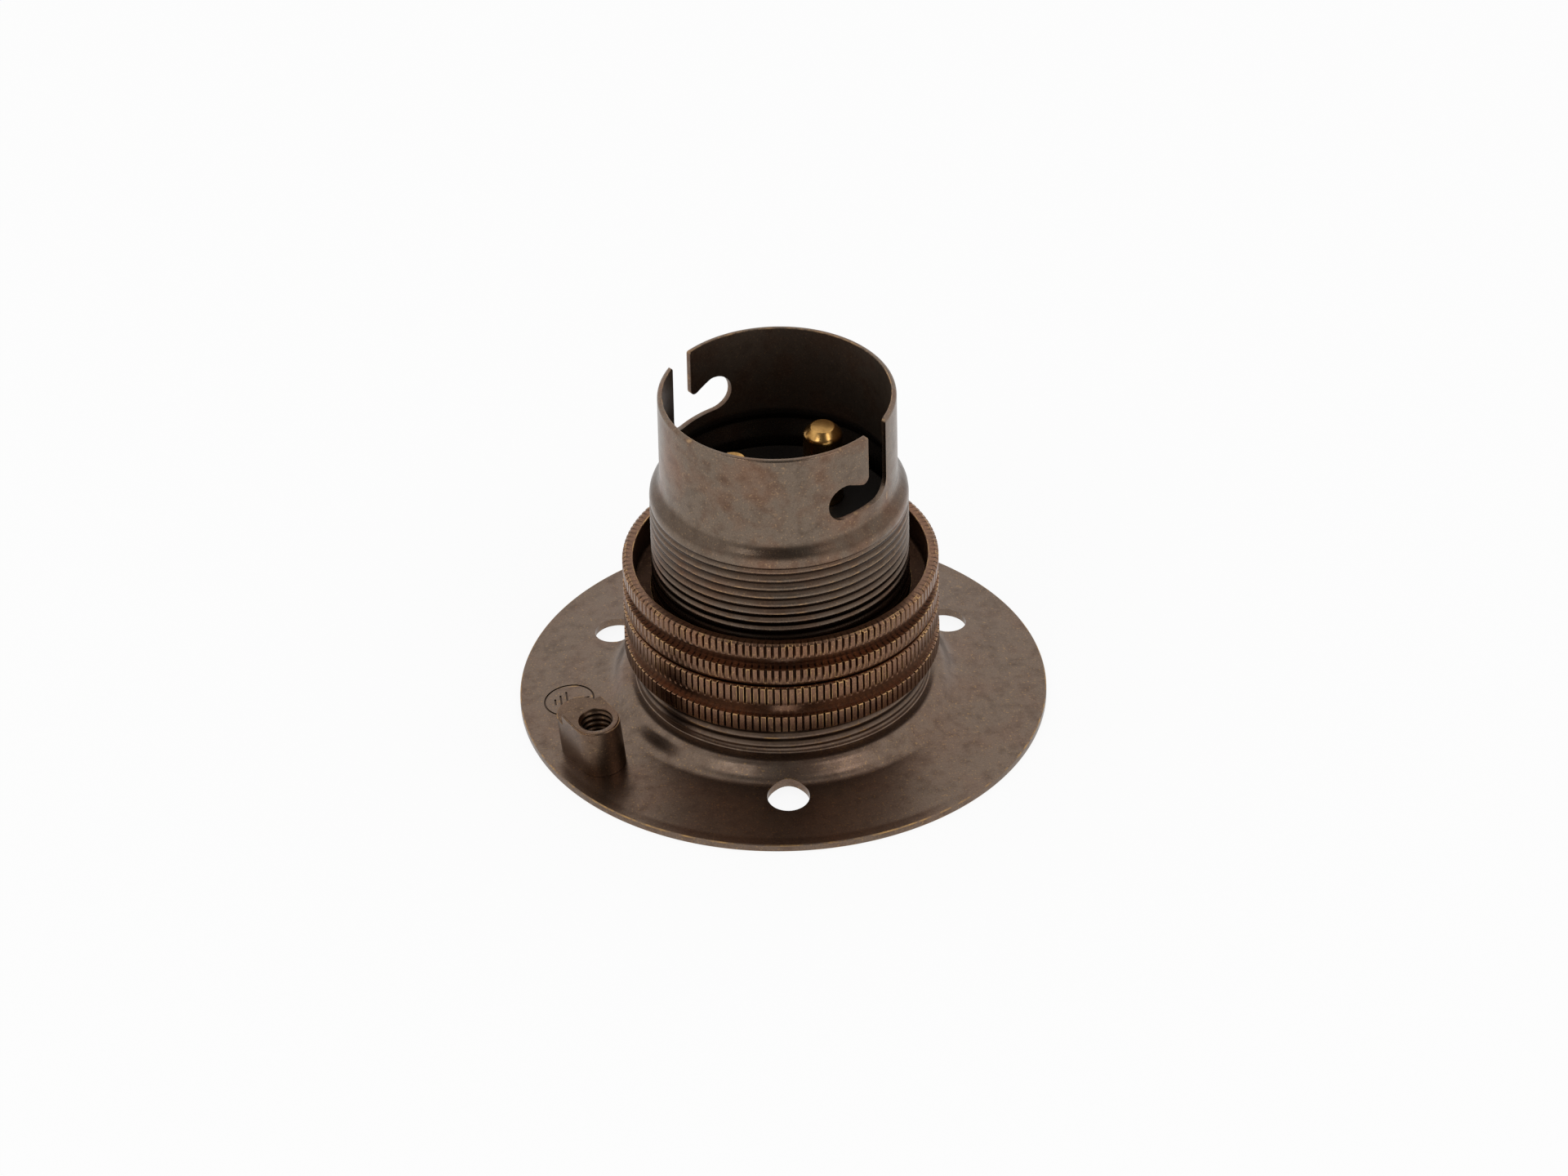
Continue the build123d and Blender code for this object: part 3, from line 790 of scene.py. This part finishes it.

# Plunger springs: wound from round drawn steel wire in open coils, which on the real holder
# press flat under the plunger's flange as it goes down. Here each is drawn at its rest length, fixed to the
# root.
wire_radius = 0.2 * mm
wire_sides = 12
coil_turns = 4
coil_steps = 32
spring_steel = turned_metal("spring_steel", pale="#9A9894", shade="#6C6965", gloss=0.3)
for side in ("left", "right"):
    low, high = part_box("plunger_spring_" + side)
    middle = Vector(((low[0] + high[0]) / 2, (low[1] + high[1]) / 2, 0))
    coil_radius = (high[0] - low[0]) / 2 - wire_radius
    coil_height = high[2] - low[2] - 2 * wire_radius
    coil = bmesh.new()
    rings = []
    for step in range(coil_turns * coil_steps + 1):
        turn = tau * step / coil_steps
        rise = low[2] + wire_radius + coil_height * step / (coil_turns * coil_steps)
        ring = []
        for wire_side in range(wire_sides):
            around = tau * wire_side / wire_sides
            reach = coil_radius + wire_radius * cos(around)
            spot = Vector((reach * cos(turn), reach * sin(turn), rise + wire_radius * sin(around)))
            ring.append(coil.verts.new(middle + spot))
        rings.append(ring)
    for first, second in zip(rings, rings[1:]):
        for index in range(wire_sides):
            after = (index + 1) % wire_sides
            coil.faces.new((first[index], first[after], second[after], second[index]))
    coil.faces.new(rings[0][::-1])
    coil.faces.new(rings[-1])
    spring = new_piece("spring_" + side, coil)
    dress(spring, spring_steel)
    finish_edges(spring)
    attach(spring, "root")
    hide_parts("plunger_spring_" + side)
    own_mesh(spring)

# Barrel: drawn from brass sheet into a foot, a skirt with a rolled thread, a shoulder and a
# neck. Two bayonet slots are punched through the neck, and it is bronzed all over.
barrel_low, barrel_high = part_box("barrel")
barrel_foot_radius = barrel_high[0]
barrel_top = barrel_high[2]
barrel_foot = barrel_low[2]
barrel_wall = 0.55 * mm
barrel_radius = 12.3 * mm
barrel_rim_round = 0.36 * mm
barrel_bore_round = 0.12 * mm
barrel_edge_round = 0.11 * mm
barrel_foot_bend = 0.3 * mm
skirt_radius = 13.4 * mm
shoulder_top = barrel_top - 10.5 * mm
shoulder_bottom = shoulder_top - 1.26 * mm
shoulder_round = 1.7 * mm
barrel_thread_top = barrel_top - 12.55 * mm
barrel_thread_bottom = barrel_foot + 1.2 * mm


def barrel_section(depth):
    """The barrel's skin lines, outer for depth 0 and inner for the wall, as corners with radii.
    The inner one turns a little lower, which keeps the wall's thickness round the shoulder."""
    drop = depth * 0.4
    return [
        (skirt_radius - depth, barrel_foot + barrel_wall - depth, barrel_foot_bend + depth),
        (skirt_radius - depth, shoulder_bottom - drop, shoulder_round - depth),
        (barrel_radius - depth, shoulder_top - drop, shoulder_round + depth),
        (barrel_radius - depth, barrel_top, barrel_bore_round if depth else barrel_rim_round),
    ]


barrel_outline = rounded(
    [(barrel_foot_radius, barrel_foot), (barrel_foot_radius, barrel_foot + barrel_wall)]
    + barrel_section(0)
    + barrel_section(barrel_wall)[::-1]
)
barrel_outline = with_rows(
    barrel_outline, barrel_thread_bottom, barrel_thread_top, thread_pitch / thread_rows
)
barrel = turned("slotted_barrel", barrel_outline, even_columns(round_columns))

# Each slot runs down from the rim, past a tooth, and sideways into a round pocket that holds
# the lamp cap's pin. Its corners at the rim are rounded off.
slot_azimuth = radians(-50)
slot_near = 1.645 * mm
slot_far = 4.795 * mm
slot_floor = barrel_top - 8.8 * mm
slot_throat = slot_floor + 2.8 * mm
slot_roof = slot_floor + 4.1 * mm
slot_end = -3.5 * mm
slot_tongue_run = 2.85 * mm
slot_throat_round = 0.7 * mm
slot_tooth_round = 1 * mm
slot_pocket_round = 1.95 * mm
slot_corner_round = 1.9 * mm
slot_rim_round = 0.45 * mm
slot_above = barrel_top + 2 * mm
slot_outline = rounded([
    (slot_near, barrel_top - slot_rim_round),
    (slot_near, slot_throat, slot_throat_round),
    (slot_near - slot_tongue_run, slot_roof, slot_tooth_round),
    (slot_end, slot_roof, slot_pocket_round),
    (slot_end, slot_floor, slot_pocket_round),
    (slot_far, slot_floor, slot_corner_round),
    (slot_far, barrel_top - slot_rim_round),
])


def rim_corner(wall, outward, steps=6):
    """A slot's rounded corner at the rim, from its side wall upwards, and the point above it."""
    points = []
    for step in range(1, steps + 1):
        swing = radians(90) * step / steps
        rise = slot_rim_round * sin(swing)
        spread = slot_rim_round * (1 - cos(swing))
        points.append(Vector((wall + outward * spread, barrel_top - slot_rim_round + rise)))
    return points + [Vector((wall + outward * slot_rim_round, slot_above))]


slot_outline += rim_corner(slot_far, 1)
slot_outline += rim_corner(slot_near, -1)[::-1]
for half_turn in (0, pi):
    bearing = slot_azimuth + half_turn
    facing = Vector((cos(bearing), sin(bearing), 0))
    sideways = Vector((-sin(bearing), cos(bearing), 0))
    slot_place = Matrix((sideways, Vector((0, 0, 1)), facing)).transposed().to_4x4()
    cut(barrel, prism("slot", slot_outline, 0.0, skirt_radius, slot_place))


def on_neck(point):
    """Whether a point lies on the neck, above the shoulder."""
    return point.z > shoulder_top + 0.5 * mm


def on_shoulder(point):
    """Whether a point lies on the shoulder's slope, which is painted darker as shade."""
    return shoulder_bottom - 0.2 * mm < point.z < shoulder_top + 0.2 * mm


def inside_barrel(point):
    """Whether a point lies on the barrel's inner side."""
    return hypot(point.x, point.y) < barrel_radius - 0.9 * barrel_wall


soften(barrel, barrel_edge_round, on_neck)
mark(barrel, "dull", inside_barrel, amount=0.8)
# Painted shade: the shoulder's slope and the barrel's inside are darkened.
mark(barrel, "patina_and_shade", on_shoulder, amount=0.5)
mark(barrel, "patina_and_shade", inside_barrel, amount=0.45)
barrel_finish = bronzed_brass(
    "bronzed_drawn_brass", coat="#77685B", flush="#82624F", deep_and_shade="#33251C", rubbed="#B99772", gloss=0.27
)
barrel_thread = {"Radius": skirt_radius, "Low end": barrel_thread_bottom, "High end": barrel_thread_top}
work(barrel, rolled_thread, {**thread_sizes, **barrel_thread}, barrel_finish)
finish_edges(barrel)
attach(barrel, "barrel")
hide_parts("barrel")


# Union ring: turned brass with two straight-knurled bands and a smooth taper between them. The
# real ring is tapped for the collar; here its bore is plain. Its lip presses the barrel's foot down on the
# insulator.
knurl_teeth = 138
knurl_depth = 0.3 * mm
crest_share = 0.66
crest_lip_share = 0.07
groove_floor_share = 0.03
shallowest_groove = 0.72
union_low, union_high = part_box("union_ring")
union_bottom = union_low[2]
union_top = union_high[2]
ring_radius = union_high[0]
ring_edge_round = 0.1 * mm
collar_bore = collar_radius + 0.06 * mm
collar_bore_round = 0.15 * mm
lip_radius = 13.75 * mm
lip_thickness = 0.8 * mm
low_band_top = union_bottom + 2.05 * mm
high_band_bottom = union_top - 2.0 * mm
union_foot_chamfer = (0.2 * mm, 0.25 * mm)
union_top_chamfer = (0.25 * mm, 0.12 * mm)
band_end = 0.05 * mm
waist_depth = 0.4 * mm
waist_slope = (0.06 * mm, 0.5 * mm)
waist_bend = 1.5 * mm


def knurl_tree():
    """A straight knurl rolled into one band: even crests, with grooves of slightly uneven depth."""
    sizes = ("Radius", "Depth", "Teeth", "Crest share", "Low edge", "High edge", "Seed")
    tree = new_tree("straight_knurl", sizes)
    source = add_node(tree, "NodeGroupInput", {})
    parts, turns, _ = polar_nodes(tree)
    teeth = source.outputs["Teeth"]
    count = add_node(tree, "ShaderNodeMath", {0: turns, 1: teeth}, operation="MULTIPLY").outputs[0]
    phase = add_node(tree, "ShaderNodeMath", {0: count}, operation="FRACT").outputs[0]
    tooth = add_node(tree, "ShaderNodeMath", {0: count}, operation="FLOOR").outputs[0]
    crest = source.outputs["Crest share"]
    middle = add_node(
        tree, "ShaderNodeMath", {0: crest, 1: 0.5, 2: 0.5}, operation="MULTIPLY_ADD"
    ).outputs[0]
    reach = add_node(tree, "ShaderNodeMath", {0: 1.0, 1: middle}, operation="SUBTRACT").outputs[0]
    aside = add_node(tree, "ShaderNodeMath", {0: phase, 1: middle}, operation="SUBTRACT").outputs[0]
    aside = add_node(tree, "ShaderNodeMath", {0: aside}, operation="ABSOLUTE").outputs[0]
    near = add_node(
        tree, "ShaderNodeMapRange", {"Value": aside, "From Min": reach, "From Max": groove_floor_share}
    ).outputs[0]
    uneven = add_node(
        tree,
        "FunctionNodeRandomValue",
        {2: shallowest_groove, 3: 1.0, "ID": tooth, "Seed": source.outputs["Seed"]},
        data_type="FLOAT",
    ).outputs[1]
    groove = add_node(tree, "ShaderNodeMath", {0: near, 1: uneven}, operation="MULTIPLY").outputs[0]
    chosen = between(tree, parts[2], source.outputs["Low edge"], source.outputs["High edge"])
    cut_to(tree, source, groove, near, chosen)
    return tree


def tooth_columns(crest):
    """Angles for a knurled ring's columns: five over each crest and two at each groove's floor."""
    across = (0.0, crest_lip_share, crest_share / 2, crest_share - crest_lip_share, crest_share)
    shares = [share * crest / crest_share for share in across]
    shares += [(1 + crest) / 2 - groove_floor_share, (1 + crest) / 2 + groove_floor_share]
    return [(tooth + share) * tau / knurl_teeth for tooth in range(knurl_teeth) for share in shares]


def knurl(ring, crest, first_seed, bands):
    """Rolls a straight knurl into each band of a ring, between its low and its high edge."""
    for seed, (low_edge, high_edge) in enumerate(bands, first_seed):
        band_sizes = {
            "Radius": ring_radius,
            "Depth": knurl_depth,
            "Teeth": knurl_teeth,
            "Crest share": crest,
            "Low edge": low_edge,
            "High edge": high_edge,
            "Seed": seed,
        }
        work(ring, straight_knurl, band_sizes, ring_finish)


straight_knurl = knurl_tree()
ring_finish = bronzed_brass(
    "bronzed_turned_brass", coat="#7E5F4C", flush="#8C654D", deep_and_shade="#1E120B", rubbed="#D6AC76", gloss=0.28
)
union_outline = rounded([
    (collar_bore, union_bottom, collar_bore_round),
    (ring_radius - union_foot_chamfer[0], union_bottom, ring_edge_round),
    (ring_radius, union_bottom + union_foot_chamfer[1], ring_edge_round),
    (ring_radius, low_band_top - band_end, ring_edge_round),
    (ring_radius - waist_depth, low_band_top),
    (ring_radius - waist_depth + waist_slope[0], low_band_top + waist_slope[1], waist_bend),
    (ring_radius, high_band_bottom, waist_bend),
    (ring_radius, union_top - union_top_chamfer[1], ring_edge_round),
    (ring_radius - union_top_chamfer[0], union_top, ring_edge_round),
    (lip_radius, union_top, ring_edge_round),
    (lip_radius, union_top - lip_thickness),
    (collar_bore, union_top - lip_thickness),
])
union_ring = turned("union_nut", union_outline, tooth_columns(crest_share))
knurl(union_ring, crest_share, 0, [(union_bottom, low_band_top), (high_band_bottom, union_top)])
finish_edges(union_ring)
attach(union_ring, "union_ring")
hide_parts("union_ring")

# Shade ring: turned brass, hollowed from above. The real ring is tapped for the barrel; here its
# bore is plain. Outside it has a wide knurled band, a taper into a deep groove, a narrow knurled band and a
# round bead.
shade_low, shade_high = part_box("shade_ring")
shade_bottom = shade_low[2]
shade_top = shade_high[2]
skirt_bore = skirt_radius + 0.06 * mm
cup_radius = ring_radius - 1.15 * mm
cup_floor = shade_top - 3.5 * mm
cup_floor_round = 0.4 * mm
cup_rim_round = 0.15 * mm
bead_inset = 0.45 * mm
bead_height = 0.45 * mm
bead_under_band = 0.05 * mm
bead_bend = 0.5 * mm
narrow_band_bottom = shade_bottom + 1.2 * mm
narrow_band_top = shade_bottom + 2.25 * mm
groove_depth = 0.6 * mm
groove_slope = (0.05 * mm, 0.4 * mm)
groove_bend = 0.8 * mm
wide_band_bottom = shade_top - 1.6 * mm
wide_band_lead = 0.1 * mm
shade_top_chamfer = (0.3 * mm, 0.2 * mm)
knurl_overrun = 0.02 * mm
shade_crest_share = 0.55
shade_outline = rounded([
    (skirt_bore, shade_bottom, ring_edge_round),
    (ring_radius - bead_inset, shade_bottom, ring_edge_round),
    (ring_radius - bead_under_band, shade_bottom + bead_height, bead_bend),
    (ring_radius, narrow_band_bottom, bead_bend),
    (ring_radius, narrow_band_top - band_end, ring_edge_round),
    (ring_radius - groove_depth, narrow_band_top),
    (ring_radius - groove_depth + groove_slope[0], narrow_band_top + groove_slope[1], groove_bend),
    (ring_radius, wide_band_bottom - wide_band_lead, waist_bend),
    (ring_radius, shade_top - shade_top_chamfer[1], ring_edge_round),
    (ring_radius - shade_top_chamfer[0], shade_top, ring_edge_round),
    (cup_radius, shade_top, cup_rim_round),
    (cup_radius, cup_floor, cup_floor_round),
    (skirt_bore, cup_floor, ring_edge_round),
])
shade_ring = turned("shade_nut", shade_outline, tooth_columns(shade_crest_share))
shade_bands = [
    (narrow_band_bottom - knurl_overrun, narrow_band_top + knurl_overrun),
    (wide_band_bottom - knurl_overrun, shade_top + knurl_overrun),
]
knurl(shade_ring, shade_crest_share, 2, shade_bands)


def in_cup(point):
    """Whether a point lies on the floor of the cup or low on its wall."""
    return hypot(point.x, point.y) < cup_radius + 0.01 * mm and point.z < cup_floor + 0.5 * mm


# Painted shade: the cup's floor and the low part of its wall are darkened.
mark(shade_ring, "patina_and_shade", in_cup, amount=0.7)
mark(shade_ring, "dull", in_cup)
finish_edges(shade_ring)
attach(shade_ring, "shade_ring")
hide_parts("shade_ring")

# Studio: a white table in a white surround that is dimmer high up in front, where the camera
# stands, and a small soft box on each side of that gap.
table_size = 4.0
table_half = table_size / 2
table_height = -0.02 * mm
table_glow_share = 0.9
table_mesh = bpy.data.meshes.new("table")
table_corners = block(-table_half, -table_half, table_half, table_half)
table_mesh.from_pydata([(*corner, table_height) for corner in table_corners], [], [(0, 1, 2, 3)])
table = bpy.data.objects.new("table", table_mesh)
bpy.context.scene.collection.objects.link(table)
white_table, table_tree = new_finish("white_table")


def seen_ray(tree):
    """A factor that is 1 for rays that come straight from the camera, a gloss or a clear body."""
    rays = add_node(tree, "ShaderNodeLightPath", {}).outputs
    seen = rays["Is Camera Ray"]
    for kind in ("Is Glossy Ray", "Is Transmission Ray"):
        seen = add_node(tree, "ShaderNodeMath", {0: seen, 1: rays[kind]}, operation="MAXIMUM").outputs[0]
    return seen


table_white = add_node(table_tree, "ShaderNodeBsdfDiffuse", {"Color": srgb("#F2F2F2")})
table_glow = add_node(table_tree, "ShaderNodeEmission", {"Color": (1.0, 1.0, 1.0, 1.0), "Strength": 1.0})
glow_share = add_node(
    table_tree, "ShaderNodeMath", {0: seen_ray(table_tree), 1: table_glow_share}, operation="MULTIPLY"
).outputs[0]
table_mix = add_node(
    table_tree, "ShaderNodeMixShader", {0: glow_share, 1: table_white.outputs[0], 2: table_glow.outputs[0]}
)
add_node(table_tree, "ShaderNodeOutputMaterial", {"Surface": table_mix.outputs[0]})
table_mesh.materials.append(white_table)

gap_elevation = radians(54)
gap_outer = radians(46)
gap_inner = radians(26)
gap_white = 0.15
surround_white = 1.0
bounced_white = 0.8
world = bpy.data.worlds.new("surround")
bpy.context.scene.world = world
world.use_nodes = True
world.node_tree.nodes.clear()
direction = add_node(world.node_tree, "ShaderNodeTexCoord", {}).outputs["Generated"]
toward_gap = add_node(
    world.node_tree,
    "ShaderNodeVectorMath",
    {0: direction, 1: (0.0, -cos(gap_elevation), sin(gap_elevation))},
    operation="DOT_PRODUCT",
).outputs["Value"]
gap_light = add_node(
    world.node_tree,
    "ShaderNodeMapRange",
    {
        "Value": toward_gap,
        "From Min": cos(gap_outer),
        "From Max": cos(gap_inner),
        "To Min": surround_white,
        "To Max": gap_white,
    },
    interpolation_type="SMOOTHSTEP",
).outputs[0]
world_light = add_node(
    world.node_tree,
    "ShaderNodeMapRange",
    {"Value": seen_ray(world.node_tree), "To Min": bounced_white, "To Max": gap_light},
).outputs[0]
backdrop = add_node(
    world.node_tree, "ShaderNodeBackground", {"Color": (1.0, 1.0, 1.0, 1.0), "Strength": world_light}
)
add_node(world.node_tree, "ShaderNodeOutputWorld", {"Surface": backdrop.outputs[0]})

box_distance = 0.8
box_width = 0.22
box_white = 2.8
box_target = Vector((0, 0, 15 * mm))
for name, azimuth, elevation in (("left_box", -128, 44), ("right_box", -45, 49)):
    light = bpy.data.lights.new(name, "AREA")
    light.size = box_width
    light.energy = box_white * pi * box_width ** 2
    lamp = bpy.data.objects.new(name, light)
    bpy.context.scene.collection.objects.link(lamp)
    level = box_distance * cos(radians(elevation))
    height = box_distance * sin(radians(elevation))
    place = Vector((level * cos(radians(azimuth)), level * sin(radians(azimuth)), height))
    lamp.location = place
    lamp.rotation_euler = (box_target - place).to_track_quat("-Z", "Y").to_euler()

# Camera: a long lens that looks down on the holder, found from the plate's and the rims' ellipses
# and the fixing holes in the photograph.
photo_width = 1920
focal_pixels = 13297.4
camera_distance = 1.1356
camera_elevation = radians(35.752)
camera_azimuth = radians(-0.87)
camera_roll = radians(1.257)
camera_right = 0.305 * mm
camera_up = 10.972 * mm
lens = bpy.data.cameras.new("camera")
lens.sensor_width = 36.0
lens.lens = focal_pixels / photo_width * lens.sensor_width
lens.clip_start = 0.01
right = Vector((cos(camera_azimuth), sin(camera_azimuth), 0))
away = Vector((-sin(camera_azimuth), cos(camera_azimuth), 0))
up = away * sin(camera_elevation) + Vector((0, 0, cos(camera_elevation)))
back = Vector((0, 0, sin(camera_elevation))) - away * cos(camera_elevation)
camera = bpy.data.objects.new("camera", lens)
bpy.context.scene.collection.objects.link(camera)
turn = Matrix((
    right * cos(camera_roll) - up * sin(camera_roll),
    right * sin(camera_roll) + up * cos(camera_roll),
    back,
)).transposed().to_4x4()
camera_place = right * camera_right + up * camera_up + back * camera_distance
camera.matrix_world = Matrix.Translation(camera_place) @ turn
bpy.context.scene.camera = camera
bpy.context.scene.view_settings.view_transform = "Standard"
